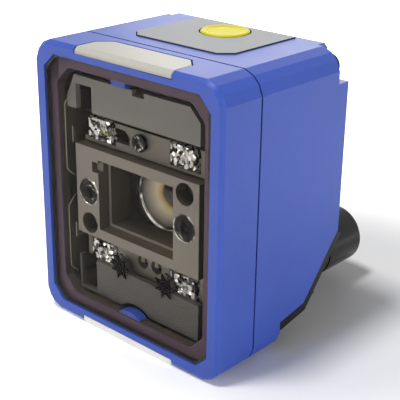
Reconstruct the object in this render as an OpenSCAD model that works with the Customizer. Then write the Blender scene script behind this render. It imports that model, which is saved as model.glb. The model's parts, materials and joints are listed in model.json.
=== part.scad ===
// Fixed barcode reader: a cast two-part housing with a bonded front window, an imager with
// four lamps behind it, a keypad with one push button on top, and a connector block with two
// round connectors on the sloping lower rear.
// X runs across the front, Y from the front to the rear, Z upwards. The origin is the centre
// of the four threaded mounting holes on the rear face.

/* [Body] */
// Width of the housing
body_w = 47; // [45:0.5:54]
// Height of the housing
body_h = 56; // [54:0.5:64]
// Depth from the front face to the rear face
body_d = 35; // [34:0.5:42]
// Thickness of the cast walls
wall = 2; // [1.6:0.1:2.4]
// Chamfer on the four long edges
corner_cut = 2.9; // [2.2:0.1:3.4]
// Easing at both ends of a corner cut, as a share of the cut
corner_ease = 0.4; // [0.2:0.05:0.6]
// Break along the top rear edge
rear_break = 0.9; // [0.4:0.1:1.5]

/* [Front cover] */
// Depth of the front cover
cover_d = 9.7; // [9.2:0.1:11]
// Break on the cover's front edge
edge_break = 0.7; // [0.3:0.1:1.1]
// Thickness of the seal in the seam behind the cover
seal_t = 0.3; // [0.2:0.1:0.5]
// Distance of the seal below the outer surface
seal_inset = 0.3; // [0.1:0.1:0.6]

/* [Window] */
// Rim of the cover beside the window
rim_side = 2.7; // [2.4:0.1:3.2]
// Rim of the cover above and below the window
rim_end = 2.6; // [2.4:0.1:3.2]
// Corner cut of the window
window_cut = 2.7; // [1.5:0.1:3]
// Easing at both ends of the window's corner cuts, as a share of the cut
window_ease = 0.15; // [0.1:0.05:0.5]
// Width of the black gasket round the glass
gasket_w = 0.35; // [0.3:0.05:0.8]
// Depth of the glass below the front face
glass_recess = 0.4; // [0.2:0.1:0.6]
// Thickness of the glass
glass_t = 0.9; // [0.7:0.1:1.5]
// Thickness of the tinted bond behind the glass
bond_t = 0.2; // [0.1:0.1:0.3]
// Width of the ledge that carries the glass
ledge_w = 2.2; // [1.8:0.1:2.6]
// Thickness of that ledge
ledge_t = 1.8; // [1.2:0.1:2]

/* [Indicators] */
// Length of the light guides in the front rim
guide_w = 24; // [20:0.5:28]
// Depth of the light guides
guide_d = 7.7; // [6:0.1:8.2]
// Cut on the rear corners of the light guides
guide_cut = 2.6; // [1:0.1:3.5]
// Thickness of the light guides
guide_t = 1.4; // [1:0.1:1.6]
// Broken front edge of the lower light guide
low_guide_break = 0.15; // [0.1:0.05:0.5]

/* [Cover screws] */
// Distance of the cover screws from the sides
screw_inset = 3.9; // [3.7:0.1:4.4]
// Radius of a cover screw
screw_r = 1.25; // [1:0.05:1.4]
// Radius of its head
head_r = 2.25; // [2:0.05:2.4]
// Height of its head
head_h = 2.4; // [2:0.1:2.6]
// Radius of the tubes and bosses round the screws
tube_r = 3.2; // [3:0.1:3.4]
// Width of the notches for the upper screw heads
notch_w = 5.2; // [5:0.1:5.8]
// Depth of those notches
notch_d = 3; // [2.6:0.1:4]
// Height of those notches
notch_h = 6.4; // [6.2:0.1:7]

/* [Foot and slope] */
// Depth of the flat foot
foot_d = 17.7; // [17:0.1:20]
// Height of the step behind the foot
foot_step = 6.3; // [6.2:0.1:7.5]
// Rise of the ledge between the step and the slope
ledge_rise = 1.4; // [0.8:0.1:2]
// Length of the slope along the depth
slope_run = 10.1; // [9:0.1:11]
// Rise of the slope
slope_rise = 12.1; // [11:0.1:13]

/* [Rear mount] */
// Distance between the mounting holes across the rear
mount_x = 30; // [24:0.5:32]
// Distance between the mounting holes up the rear
mount_h = 18; // [14:0.5:20]
// Height of the hole pattern's centre above the foot
mount_z = 35; // [34:0.5:38]
// Radius of a mounting hole
mount_r = 1.65; // [1.25:0.05:2.05]
// Depth of a mounting hole
mount_depth = 4.6; // [4:0.1:5]

/* [Keypad] */
// Width of the keypad panel
panel_w = 24.5; // [20:0.5:26]
// Thickness of the panel
panel_t = 1.05; // [0.85:0.05:1.25]
// Height of the panel above the housing
panel_up = 0.25; // [0.1:0.05:0.35]
// Distance of the panel from the seam
panel_front_gap = 3.7; // [3:0.1:5]
// Distance of the panel from the rear face
panel_rear_gap = 1.7; // [1.4:0.1:2.5]
// Cut on the panel's front corners
panel_cut = 2.4; // [1:0.1:3.5]
// Radius of the push button
button_r = 4.75; // [4:0.05:5]
// Distance of the button's centre from the rear face
button_from_rear = 7.6; // [7.4:0.1:9]
// Height of the button above the panel
button_up = 0.3; // [0.2:0.1:0.8]
// Travel of the button
button_travel = 0.6; // [0.3:0.1:0.7]
// Width of the flange that keeps the button in
flange_w = 0.75; // [0.5:0.05:1]
// Thickness of that flange
flange_t = 0.8; // [0.6:0.1:1]
// Height of the push switch
switch_h = 1; // [0.8:0.1:1.2]

/* [Connectors] */
// Distance of each connector from the middle
port_x = 10.3; // [9.5:0.1:10.4]
// Height of the connector axes above the foot
port_z = 8.8; // [8.6:0.1:10]
// Radius of the connector barrels
port_r = 6.3; // [5.6:0.1:6.4]
// Radius of the connector necks
neck_r = 5.9; // [5.4:0.1:6]
// Length of the necks
neck_l = 6; // [5:0.1:8]
// Length of the barrels
barrel_l = 11; // [10:0.1:13]
// Radius of the sockets in the barrels
socket_r = 5.1; // [4.6:0.1:5.1]
// Depth of the sockets
socket_d = 8; // [7.6:0.1:8.6]
// Length of the contacts
pin_l = 3.3; // [2.5:0.1:3.5]
// Thickness of the block's flange
block_t = 2; // [1.6:0.1:2.4]
// Thickness of the block's gasket
block_seal_t = 0.5; // [0.3:0.1:0.7]
// Distance of the block's flange below the cheeks
block_inset = 0.6; // [0.4:0.1:1.2]
// Width of the block behind the flange
block_w = 34; // [33.4:0.1:35]
// Distance of the block's rear face behind the body
block_back = 2.5; // [2.2:0.1:3.5]
// Height of the block's underside above the foot
block_low = 2.6; // [2.2:0.1:3]

/* [Imager] */
// Height of the optical axis below mid height
axis_drop = 1; // [0:0.1:2]
// Depth of the inner mask behind the front face
mask_y = 2.9; // [2.8:0.1:3.2]
// Thickness of the inner mask
mask_t = 2.6; // [2.2:0.1:2.8]
// Width of the inner mask
mask_w = 32; // [31.4:0.1:33]
// Width of the camera opening
camera_w = 19.4; // [18:0.1:20]
// Height of the camera opening
camera_h = 14.1; // [13:0.1:14.4]
// Step between the camera opening and the hood behind it
hood_step = 0.6; // [0.4:0.1:0.7]
// Depth of the lamp bars behind the front face
bar_y = 5; // [4.8:0.1:5.2]
// Thickness of the lamp bars
bar_t = 1.4; // [1:0.1:1.5]
// Distance of the lamps from the middle
lamp_x = 10.7; // [10:0.1:11]
// Height of the lamps above and below the optical axis
lamp_z = 12.5; // [12.3:0.1:13]
// Width of a lamp lens
lamp_w = 6.2; // [5.6:0.1:6.6]
// Height of a lamp lens
lamp_h = 4.2; // [3.8:0.1:4.4]
// Distance of the mask screws from the middle
mask_screw_x = 12.5; // [12.2:0.1:12.8]
// Radius of the aiming holes
aim_r = 2.1; // [1.8:0.05:2.2]
// Height of the aiming holes above and below the optical axis
aim_z = 6.5; // [6.4:0.1:6.8]
// Radius of the camera lens barrel
lens_r = 7; // [6.6:0.1:7.1]
// Thickness of the circuit boards
board_t = 1; // [0.8:0.1:1.2]
// Thickness of the chassis plate
chassis_t = 1.8; // [1.4:0.1:2]

/* [Clearances] */
// Radial clearance of screws and inserts in their holes
slip = 0.05; // [0.02:0.01:0.08]
// Clearance round trim and inner pieces
gap = 0.3; // [0.2:0.05:0.35]
// Gap round the light guides and the keypad panel
trim_gap = 0.15; // [0.1:0.05:0.2]

/* [Hidden] */

$fn = 48;
over = 1;
half_w = body_w / 2;
seam_y = cover_d + seal_t;
axis_z = body_h / 2 - axis_drop;
sides = [-1, 1];

// Window stack, front to rear
glass_back = glass_recess + glass_t;
ledge_y = glass_back + bond_t;
ledge_back = ledge_y + ledge_t;
window_w = body_w - 2 * rim_side;
window_h = body_h - 2 * rim_end;
opening_w = window_w - 2 * ledge_w;
opening_h = window_h - 2 * ledge_w;
opening_low = rim_end + ledge_w;
foot_tab_x = -0.4;
foot_tab_r = 5;
foot_tab_drop = 3.8;
foot_notch = 0.9;

// Cover screws: the lower heads sit in the foot, the upper ones in the rear notches
screw_x = half_w - screw_inset;
low_seat_y = foot_d - head_h;
high_seat_y = body_d - notch_d;
screw_tip_y = ledge_back + 1.5;

// Foot, ledge and slope as seen from the side, in Y and Z
ledge_start = [foot_d, foot_step];
slope_foot = [body_d - slope_run, foot_step + ledge_rise];
slope_top = [body_d, foot_step + ledge_rise + slope_rise];
slope_angle = atan2(slope_rise, slope_run);
slope_l = norm(slope_top - slope_foot);
ledge_n = outward(unit(slope_foot - ledge_start));
slope_n = outward(unit(slope_top - slope_foot));

// Keypad
panel_y = seam_y + panel_front_gap;
panel_end = body_d - panel_rear_gap;
panel_z = body_h + panel_up - panel_t;
button_y = body_d - button_from_rear;
button_top = body_h + panel_up + button_up;
flange_r = button_r + flange_w;
flange_top = panel_z - gap;
switch_top = flange_top - flange_t - button_travel - gap;
keypad_top = switch_top - switch_h;
keypad_x = panel_w / 2 - 2.7;
keypad_screw_y = [panel_y + 3.3, panel_end - 2.3];
keypad_screw_r = 0.8;
keypad_post_r = 1.6;

// Connector block and connectors, front to rear
block_out = block_seal_t + block_t;
block_y = body_d + block_back;
block_side = half_w - block_inset;
neck_end = block_y + neck_l;
port_end = neck_end + barrel_l;
seal_r = 0.5;
insert_y = block_y + 2.5;
insert_end = port_end - socket_d;
block_screw_x = half_w - 3.4;
block_screw_s = [0.24 * slope_l, 0.76 * slope_l];
block_screw_r = 1.0;
block_head_r = 1.8;
block_head_h = 1.2;
duct_w = 26;
duct_l = 5;

// Guide pads inside the cover
pad_l = 17;
pad_slope = 1.9;
pad_x = opening_w / 2 - 0.3;

// Imager stack, front to rear
mask_back = mask_y + mask_t;
bar_back = bar_y + bar_t;
lamp_board_back = bar_back + board_t;
chassis_y = lamp_board_back + 3.2;
chassis_back = chassis_y + chassis_t;
plate_y = mask_y + 0.1;
plate_t = 1.2;
plate_side = pad_x - gap;
slot_w = 4.3;
slot_x = -13.3;
slot_foot = 0.7;
stub_x = [-4, 7.8];
stub_z = 13.1;
stub_r = 0.9;
ear_r = 1.5;
lower_plate_top = 14.2;
clip_r = 2.6;
clip_t = 0.3;
clip_y = plate_y - 0.5;
mask_up = 9.2;
hood_wall = 0.6;
mask_down = 9.1;
bar_top = 15.4;
bar_low = 14.6;
plate_gap = 0.6;
upper_plate_gap = 1.6;
lower_plate_gap = 0.6;
upper_plate_top = opening_low + opening_h - axis_z - upper_plate_gap;
lower_plate_low = axis_z - opening_low - lower_plate_gap;
leg_up = upper_plate_top - 2.8;
leg_down = lower_plate_low - 1.8;
leg_x = 9;
leg_w = 2.4;
leg_foot = 0.5;
pin_x = 6.1;
pin_z = 12.4;
pocket_gap = 0.6;
kidney_x = [-0.1, 3.5];
kidney_r = 1.4;
mask_notch = 1.7;
mask_screw_r = 1.25;
mask_head_r = 2.5;
mask_head_h = 1.5;
mask_post_r = 1.95;
bar_screw_r = 0.95;
bar_head_r = 1.7;
bar_head_h = 1.1;
post_r = 1.8;
pin_post_r = 0.6;
chassis_hold_x = half_w - 4.1;
chassis_hold_z = 10;
pillar_gap = 3.6;
pillar_x = chassis_hold_x - pillar_gap;
chassis_screw_r = 0.9;
chassis_half_w = half_w - wall - 1.1;
chassis_tube_gap = 0.6;
chassis_half_h = axis_z - screw_inset - tube_r - chassis_tube_gap;
chassis_up = leg_up + leg_w / 2 + leg_foot;
chassis_down = leg_down + leg_w / 2 + leg_foot;
chassis_tab_w = 15.5;
aim_module_r = aim_r - 0.2;
aim_module_y = mask_back + gap;
aim_module_end = chassis_back + 2.6;
barrel_y = chassis_y;
barrel_end = chassis_back + 4;
barrel_bore = lens_r - 1;
barrel_mouth = lens_r - 0.4;
barrel_cone_l = 0.6;
lens_ring_w = 1.4;
lens_ring_t = 1.4;
holder_w = 20;
holder_end = barrel_end + 2.4;
holder_screw_x = 8.4;
holder_screw_r = 0.8;
sensor_w = 9;
sensor_h = 7.5;
sensor_t = 1.2;
sensor_board_w = 2 * (pillar_x - 2.2);
sensor_board_h = 24;
stack_gap = 3.6;
processor_y = holder_end + board_t + stack_gap;
processor_w = 2 * (pillar_x + 1.6);
processor_low = 12.4;
processor_top = 18;

pillar_z = [-10, 14];
pillar_r = 1.7;
board_screw_r = 0.8;
board_head_r = 1.5;
board_head_h = 1;
chip_w = 11;
chip_t = 1.2;
chip_up = 3;
plug_w = 12;
plug_h = 3;
plug_down = 9;
beeper_r = 4.4;
beeper_h = 3;
beeper_x = 9;
beeper_up = 11;
beeper_hole_r = 0.8;

// Direction of unit length
function unit(v) = v / norm(v);

// Outward normal of an edge that runs rearwards along the underside
function outward(v) = [v[1], -v[0]];

// Underside of the ledge and slope, moved outwards by o
function foot_line(o) = [
    ledge_start + o * ledge_n,
    slope_foot + o * (ledge_n + slope_n) / (1 + ledge_n * slope_n),
    slope_top + o * slope_n
];

// Layer on the ledge and slope between two outward distances
function foot_layer(a, b) =
    let (p = foot_line(a), q = foot_line(b)) [p[0], p[1], p[2], q[2], q[1], q[0]];

// Puts the pieces, drawn from the foot's front edge, round the mounting holes
module placed() {
    translate([0, -body_d, -mount_z]) children();
}

// Extrudes a front view from depth y0 to y1
module along_y(y0, y1) {
    translate([0, y1, 0]) rotate([90, 0, 0]) linear_extrude(y1 - y0) children();
}

// Extrudes a side view, drawn in Y and Z, over the width w
module across(w) {
    translate([-w / 2, 0, 0]) rotate([90, 0, 90]) linear_extrude(w) children();
}

// Round bar along Y
module rod(x, z, r, y0, y1) {
    translate([x, y1, z]) rotate([90, 0, 0]) cylinder(r = r, h = y1 - y0);
}

// Cone along Y with radius r0 at y0 and r1 at y1
module cone(x, z, r0, r1, y0, y1) {
    translate([x, y0, z]) rotate([-90, 0, 0]) cylinder(r1 = r0, r2 = r1, h = y1 - y0);
}

// Box between two corners
module block(a, b) {
    translate(a) cube(b - a);
}

// Lower right corner of a cut rectangle, with both ends of the cut eased
function cut_corner(w, cut, ease) =
    let (e = cut * ease, d = e / sqrt(2), x = w / 2)
    [[x - cut - e, 0], [x - cut + d, d], [x - d, cut - d], [x, cut + e]];

// Points p turned over, in reversed order, so that an outline keeps its sense
function turned(p, across, h) =
    [for (i = [len(p) - 1 : -1 : 0]) across ? [-p[i][0], p[i][1]] : [p[i][0], h - p[i][1]]];

// Rectangle with its four corners cut, centred across and standing on z0
module cut_rectangle(w, h, cut, ease, z0) {
    low = cut_corner(w, cut, ease);
    right = concat(low, turned(low, false, h));
    translate([0, z0]) polygon(concat(right, turned(right, true, h)));
}

// Front view of the body, moved inwards by o
module body_section(o = 0) {
    cut_rectangle(body_w - 2 * o, body_h - 2 * o, corner_cut - 0.586 * o, corner_ease, o);
}

// Front view of the window recess, moved inwards by o
module window_section(o = 0) {
    cut_rectangle(window_w - 2 * o, window_h - 2 * o, window_cut + 0.2 * o, window_ease, rim_end + o);
}

// Top view of a light guide, grown by o
module guide_section(o = 0) {
    w = guide_w / 2 + o;
    polygon([
        [-w, -over], [w, -over], [w, guide_d - guide_cut + o / 2],
        [w - guide_cut, guide_d + o], [-w + guide_cut, guide_d + o], [-w, guide_d - guide_cut + o / 2]
    ]);
}

// Top view of the keypad panel, grown by o
module panel_section(o = 0) {
    w = panel_w / 2 + o;
    polygon([
        [-w + panel_cut, panel_y - o], [w - panel_cut, panel_y - o], [w, panel_y + panel_cut - o],
        [w, panel_end + o], [-w, panel_end + o], [-w, panel_y + panel_cut - o]
    ]);
}

// The four places of the cover screws
module at_cover_screws() {
    for (x = sides * screw_x, z = [screw_inset, body_h - screw_inset]) translate([x, 0, z]) children();
}

// A place on the slope, s up from its foot and o outwards, with Z pointing out of the slope
module on_slope(x, s, o) {
    p = slope_foot + s * unit(slope_top - slope_foot) + o * slope_n;
    translate([x, p[0], p[1]]) rotate([slope_angle - 180, 0, 0]) children();
}

module at_block_screws(o) {
    for (x = sides * block_screw_x, s = block_screw_s) on_slope(x, s, o) children();
}

module at_mount_holes() {
    for (x = sides * mount_x / 2, z = sides * mount_h / 2) translate([x, 0, mount_z + z]) children();
}

module at_keypad_screws() {
    for (x = sides * keypad_x, y = keypad_screw_y) translate([x, y, 0]) children();
}

module at_lamps() {
    for (x = sides * lamp_x, z = sides * lamp_z) translate([x, 0, axis_z + z]) children();
}

// Socket head screw along Y, entering forwards from the seat
module socket_screw(r, hr, hh, seat_y, tip_y) {
    rod(0, 0, r, tip_y, seat_y);
    difference() {
        rod(0, 0, hr, seat_y, seat_y + hh);
        translate([0, seat_y + hh + over, 0]) rotate([90, 0, 0])
            cylinder(r = hr * 0.5, h = hh / 2 + over, $fn = 6);
    }
}

// Housing

module front_cover() {
    color([0.28, 0.36, 0.72]) placed() difference() {
        union() {
            difference() {
                union() {
                    hull() {
                        along_y(0, edge_break / 2) body_section(edge_break);
                        along_y(edge_break, edge_break * 1.5) body_section();
                    }
                    along_y(edge_break, cover_d) body_section();
                }
                along_y(-over, ledge_y) window_section();
                along_y(ledge_y - over, ledge_back + over) window_section(ledge_w);
                along_y(ledge_back, cover_d + over) body_section(wall);
            }
            intersection() {
                at_cover_screws() rod(0, 0, tube_r, ledge_back - ledge_t / 2, cover_d);
                along_y(0, cover_d) body_section();
            }
            cover_pads();
            cover_tabs();
            for (x = sides * chassis_hold_x, z = sides * chassis_hold_z)
                rod(x, axis_z + z, 2, ledge_back + 1, chassis_y);
        }
        at_cover_screws() rod(0, 0, screw_r + slip, screw_tip_y, cover_d + over);
        for (x = sides * chassis_hold_x, z = sides * chassis_hold_z)
            rod(x, axis_z + z, chassis_screw_r + slip, chassis_y - 4, chassis_y + over);
        indicator_recess();
        translate([0, 0, body_h]) mirror([0, 0, 1]) indicator_recess();
    }
}

// Raised pads on the inner side walls that guide the imager, with sloping front ends
module cover_pads() {
    front = ledge_back - 0.7;
    for (z = [1.4, -pad_l - 2.5]) difference() {
        across(body_w - wall) translate([0, axis_z + z]) polygon([
            [front, pad_slope], [front, pad_l - pad_slope], [front + pad_slope, pad_l],
            [cover_d, pad_l], [cover_d, 0], [front + pad_slope, 0]
        ]);
        across(2 * pad_x) translate([0, axis_z + z - over]) square([cover_d + over, pad_l + 2 * over]);
    }
}

// Two small tabs of the ledge that locate the inner plates
module cover_tabs() {
    tab_w = 3.6;
    tab_h = 1.2;
    top = opening_low + opening_h;
    block([-tab_w - 0.6, ledge_y, top - tab_h], [-0.6, ledge_back, top + tab_h]);
    intersection() {
        foot_tab(0, ledge_y, ledge_back);
        block(
            [-body_w / 4, ledge_y - over, opening_low - 1],
            [body_w / 4, ledge_back + over, opening_low + foot_tab_r]
        );
    }
}

// Low round tab on the lower ledge, or the notch round it
module foot_tab(extra, y0, y1) {
    rod(foot_tab_x, opening_low - foot_tab_drop, foot_tab_r + extra, y0, y1);
}

// Recess for the lower light guide, with three light holes into the cover
module indicator_recess() {
    translate([0, 0, -over]) linear_extrude(guide_t + over) guide_section(trim_gap);
    for (x = [-6, 0, 6]) translate([x, guide_d / 2 + 1.2, 0]) cylinder(r = 0.8, h = wall + over);
}

module rear_housing() {
    inner = foot_line(-wall);
    back = body_d - wall;
    slope_in = inner[1][1] + (back - inner[1][0]) * slope_rise / slope_run;
    color([0.28, 0.36, 0.72]) placed() difference() {
        union() {
            difference() {
                housing_outer();
                intersection() {
                    along_y(seam_y - over, body_d) body_section(wall);
                    across(body_w) polygon([
                        [seam_y - over, wall], [foot_d - wall, wall], [foot_d - wall, inner[0][1]],
                        inner[1], [back, slope_in], [back, body_h - wall], [seam_y - over, body_h - wall]
                    ]);
                }
            }
            intersection() {
                union() {
                    housing_bosses();
                    for (x = sides) notch_box(x, wall);
                }
                housing_outer();
            }
        }
        for (x = sides) notch_box(x, 0);
        for (x = sides * screw_x) {
            rod(x, body_h - screw_inset, screw_r + gap / 2, seam_y - over, body_d);
            rod(x, screw_inset, screw_r + gap / 2, seam_y - over, foot_d);
            rod(x, screw_inset, head_r + gap / 2, low_seat_y, body_d);
            rod(x, body_h - screw_inset, head_r + gap / 2, high_seat_y, body_d + over);
        }
        at_mount_holes() rod(0, 0, mount_r, body_d - mount_depth, body_d + over);
        at_block_screws(0) translate([0, 0, -wall - 2])
            cylinder(r = block_screw_r + slip, h = wall + 2 + over);
        on_slope(0, slope_l / 2, 0) cube([duct_w, duct_l, 4 * wall], center = true);
        translate([0, 0, panel_z]) linear_extrude(panel_t + over) panel_section(trim_gap);
        translate([0, button_y, body_h - 2 * wall]) cylinder(r = flange_r + gap, h = 3 * wall);
        at_keypad_screws() translate([0, 0, keypad_top - over])
            cylinder(r = keypad_screw_r + slip, h = panel_z - keypad_top - 0.4 + over);
    }
}

// Outside of the housing without its hollows
module housing_outer() {
    intersection() {
        along_y(seam_y, body_d) body_section();
        across(body_w) polygon([
            [seam_y, 0], [foot_d, 0], ledge_start, slope_foot, slope_top,
            [body_d, body_h - rear_break], [body_d - rear_break, body_h], [seam_y, body_h]
        ]);
    }
}

// Screw tubes, mounting bosses, keypad posts and block screw bosses inside the housing
module housing_bosses() {
    for (x = sides * screw_x) {
        rod(x, body_h - screw_inset, tube_r, seam_y, high_seat_y + over);
        rod(x, screw_inset, tube_r, seam_y, foot_d);
    }
    at_mount_holes() rod(0, 0, mount_r + 2, body_d - mount_depth - 1, body_d - wall / 2);
    at_keypad_screws() translate([0, 0, keypad_top])
        cylinder(r = keypad_post_r, h = body_h - wall / 2 - keypad_top);
    at_block_screws(-wall - 2.5) cylinder(r = block_screw_r + 1.2, h = 2.5 + wall / 2);
}

// Corner notch at the top rear, grown inwards by o
module notch_box(side, o) {
    near = half_w - notch_w - o;
    far = half_w + over;
    block(
        [side > 0 ? near : -far, high_seat_y - o, body_h - notch_h - o],
        [side > 0 ? far : -near, body_d + over, body_h + over]
    );
}

module cover_seal() {
    color([0.08, 0.08, 0.1]) placed() difference() {
        along_y(cover_d, seam_y) body_section(seal_inset);
        along_y(cover_d - over, seam_y + over) body_section(wall - seal_inset);
        at_cover_screws() rod(0, 0, screw_r + gap, cover_d - over, seam_y + over);
    }
}

module cover_screws() {
    color([0.12, 0.12, 0.13]) placed() for (x = sides * screw_x) {
        tip_y = screw_tip_y + gap;
        translate([x, 0, body_h - screw_inset]) socket_screw(screw_r, head_r, head_h, high_seat_y, tip_y);
        translate([x, 0, screw_inset]) socket_screw(screw_r, head_r, head_h, low_seat_y, tip_y);
    }
}

// Window

module window_glass() {
    color([0.75, 0.85, 0.85, 0.3]) placed() along_y(glass_recess, glass_back) window_section(gasket_w);
}

module window_gasket() {
    color([0.05, 0.05, 0.06]) placed() difference() {
        along_y(glass_recess, glass_back) window_section();
        along_y(glass_recess - over, glass_back + over) window_section(gasket_w);
    }
}

module window_bond() {
    color([0.4, 0.28, 0.3]) placed() difference() {
        along_y(glass_back, ledge_y) window_section();
        along_y(glass_back - over, ledge_y + over) window_section(ledge_w);
    }
}

// Indicators

module indicator_guide(edge) {
    intersection() {
        linear_extrude(guide_t) guide_section();
        hull() {
            along_y(0, edge / 2) body_section(edge);
            along_y(edge, guide_d + over) body_section();
        }
    }
}

module upper_indicator() {
    color([0.9, 0.88, 0.82]) placed() translate([0, 0, body_h]) mirror([0, 0, 1]) indicator_guide(edge_break);
}

module lower_indicator() {
    color([0.9, 0.88, 0.82]) placed() indicator_guide(low_guide_break);
}

module indicator_leds() {
    led = 1.6;
    color([0.95, 0.95, 0.9]) placed() for (x = [-6, 0, 6], z = [wall, body_h - wall - led / 2])
        translate([x, guide_d / 2 + 1.2, z]) translate([-led / 2, -led / 2, 0]) cube([led, led, led / 2]);
}

// Imager

module inner_mask() {
    color([0.16, 0.15, 0.14]) placed() difference() {
        union() {
            block([-mask_w / 2, mask_y, axis_z - mask_down], [mask_w / 2, mask_back, axis_z + mask_up]);
            along_y(mask_back - gap, chassis_y) camera_section(-hood_wall);
            for (x = sides * mask_screw_x) rod(x, axis_z, mask_post_r, mask_back - gap, chassis_y);
        }
        along_y(mask_y - over, mask_back) camera_section(0);
        along_y(mask_back - over, chassis_y + over) camera_section(hood_step);
        for (x = sides * mask_screw_x) {
            rod(x, axis_z, mask_screw_r + slip, mask_y - over, chassis_y + over);
            rod(x, axis_z, mask_head_r + slip, mask_y - over, mask_y + mask_head_h);
        }
        for (s = sides) rod(s * mask_screw_x, axis_z + s * aim_z, aim_r, mask_y - over, chassis_y);
        translate([-camera_w / 2 - mask_notch, mask_y - over, axis_z + camera_h / 2 - 2.6])
            cube([mask_notch + over, mask_t / 2 + over, 2]);
    }
}

// Camera opening seen from the front, moved inwards by o
module camera_section(o) {
    translate([0, axis_z]) square([camera_w - 2 * o, camera_h - 2 * o], center = true);
}

module mask_screws() {
    color([0.1, 0.1, 0.1]) placed() for (x = sides * mask_screw_x) translate([x, 0, axis_z]) difference() {
        union() {
            rod(0, 0, mask_screw_r, mask_y + mask_head_h, chassis_back);
            rod(0, 0, mask_head_r, mask_y, mask_y + mask_head_h);
        }
        translate([0, mask_y + mask_head_h * 0.7, 0]) rotate([90, 0, 0])
            cylinder(r = mask_head_r * 0.5, h = 3, $fn = 6);
    }
}

module upper_plate() {
    low = bar_top + plate_gap;
    color([0.4, 0.39, 0.37]) placed() difference() {
        union() {
            along_y(plate_y, plate_y + plate_t) polygon([
                [-plate_side, axis_z + low], [mask_w / 2, axis_z + low],
                [mask_w / 2, axis_z + upper_plate_top - 2.4], [mask_w / 2 - 2.4, axis_z + upper_plate_top],
                [-plate_side + 2.2, axis_z + upper_plate_top], [-plate_side, axis_z + upper_plate_top - 4.4]
            ]);
            plate_legs(leg_up);
        }
        plate_slot(axis_z + low - over, axis_z + upper_plate_top - 1.7);
        block(
            [-0.4, plate_y - over, axis_z + upper_plate_top - 1],
            [2.6, plate_y + plate_t + over, axis_z + upper_plate_top + over]
        );
    }
}

// Slot near the left end of a plate, between two heights
module plate_slot(z0, z1) {
    block([slot_x - slot_w / 2, plate_y - over, z0], [slot_x + slot_w / 2, plate_y + plate_t, z1]);
}

// Legs that stand a plate on the chassis
module plate_legs(z) {
    for (x = sides * leg_x) block(
        [x - leg_w / 2, plate_y + plate_t - gap, axis_z + z - leg_w / 2],
        [x + leg_w / 2, chassis_y, axis_z + z + leg_w / 2]
    );
}

module lower_plate() {
    top = axis_z - lower_plate_top;
    low = axis_z - lower_plate_low;
    color([0.4, 0.39, 0.37]) placed() difference() {
        union() {
            block([-mask_w / 2, plate_y, low], [mask_w / 2, plate_y + plate_t, top]);
            plate_legs(-leg_down);
            for (x = stub_x) {
                rod(x, axis_z - stub_z, stub_r, clip_y - 0.2, plate_y + plate_t / 2);
                rod(x, axis_z - stub_z, ear_r, plate_y, plate_y + plate_t);
                block(
                    [x - ear_r * 0.8, plate_y, top - 1],
                    [x + ear_r * 0.8, plate_y + plate_t, axis_z - stub_z]
                );
            }
        }
        foot_tab(foot_notch, plate_y - over, plate_y + plate_t + over);
        plate_slot(low + slot_foot, top + over);
    }
}

// Star clips pushed on the stubs of the lower plate
module star_clips() {
    color([0.08, 0.08, 0.08]) placed() for (x = stub_x) difference() {
        along_y(clip_y, clip_y + clip_t) translate([x, axis_z - stub_z]) star(clip_r, clip_r * 0.5, 7);
        rod(x, axis_z - stub_z, stub_r + slip, clip_y - over, clip_y + clip_t + over);
    }
}

// Plate of a lamp bar between two heights, with pockets round its lamps
module lamp_bar(z0, z1, z_lamp) {
    difference() {
        block([-mask_w / 2 + 0.5, bar_y, axis_z + z0], [mask_w / 2 - 0.5, bar_back, axis_z + z1]);
        for (x = sides * lamp_x) translate([x, bar_y - over, axis_z + z_lamp])
            translate([-lamp_w / 2 - pocket_gap, 0, -lamp_h / 2 - gap])
                cube([lamp_w + 2 * pocket_gap, bar_t + 2 * over, lamp_h + 2 * gap]);
        children();
    }
}

module upper_lamp_bar() {
    color([0.3, 0.28, 0.26]) placed() lamp_bar(mask_up + gap, bar_top, lamp_z) {
        rod(0, axis_z + lamp_z, bar_screw_r + slip, bar_y - over, bar_back + over);
        along_y(bar_y - over, bar_back + over) translate([0, axis_z + lamp_z]) polygon([
            [-lamp_x + lamp_w / 2, 1.3], [-4.4, 1.1], [-3.2, 0], [-3.4, -1.5], [-lamp_x + lamp_w / 2, -1.5]
        ]);
        block(
            [-mask_w, bar_y - over, axis_z + lamp_z - lamp_h / 2],
            [-lamp_x, bar_back + over, axis_z + lamp_z + lamp_h / 2]
        );
    }
}

module lower_lamp_bar() {
    color([0.3, 0.28, 0.26]) placed() lamp_bar(-bar_low, -mask_down - gap, -lamp_z) {
        for (x = sides * pin_x) rod(x, axis_z - pin_z, pin_post_r + slip, bar_y - over, bar_back + over);
        for (x = kidney_x) translate([x, 0, axis_z - lamp_z + 1]) difference() {
            rod(0, 0, kidney_r, bar_y - over, bar_back + over);
            block([-0.5, bar_y - 2 * over, -0.1], [0.5, bar_back + 2 * over, 2 * kidney_r]);
        }
    }
}

// Star with n points
module star(r_out, r_in, n) {
    polygon([for (i = [0 : 2 * n - 1]) (i % 2 == 0 ? r_out : r_in) * [cos(180 * i / n), sin(180 * i / n)]]);
}

module lamp_board(z0, z1) {
    block([-mask_w / 2 + 0.5, bar_back, axis_z + z0], [mask_w / 2 - 0.5, lamp_board_back, axis_z + z1]);
}

module upper_lamp_board() {
    color([0.12, 0.2, 0.14]) placed() difference() {
        lamp_board(mask_up + gap, bar_top);
        rod(0, axis_z + lamp_z, bar_screw_r + slip, bar_back - over, lamp_board_back + over);
    }
}

module lower_lamp_board() {
    color([0.12, 0.2, 0.14]) placed() difference() {
        lamp_board(-bar_low - 1, -mask_down - gap);
        for (x = sides * pin_x)
            rod(x, axis_z - pin_z, pin_post_r + slip, bar_back - over, lamp_board_back + over);
    }
}

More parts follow.
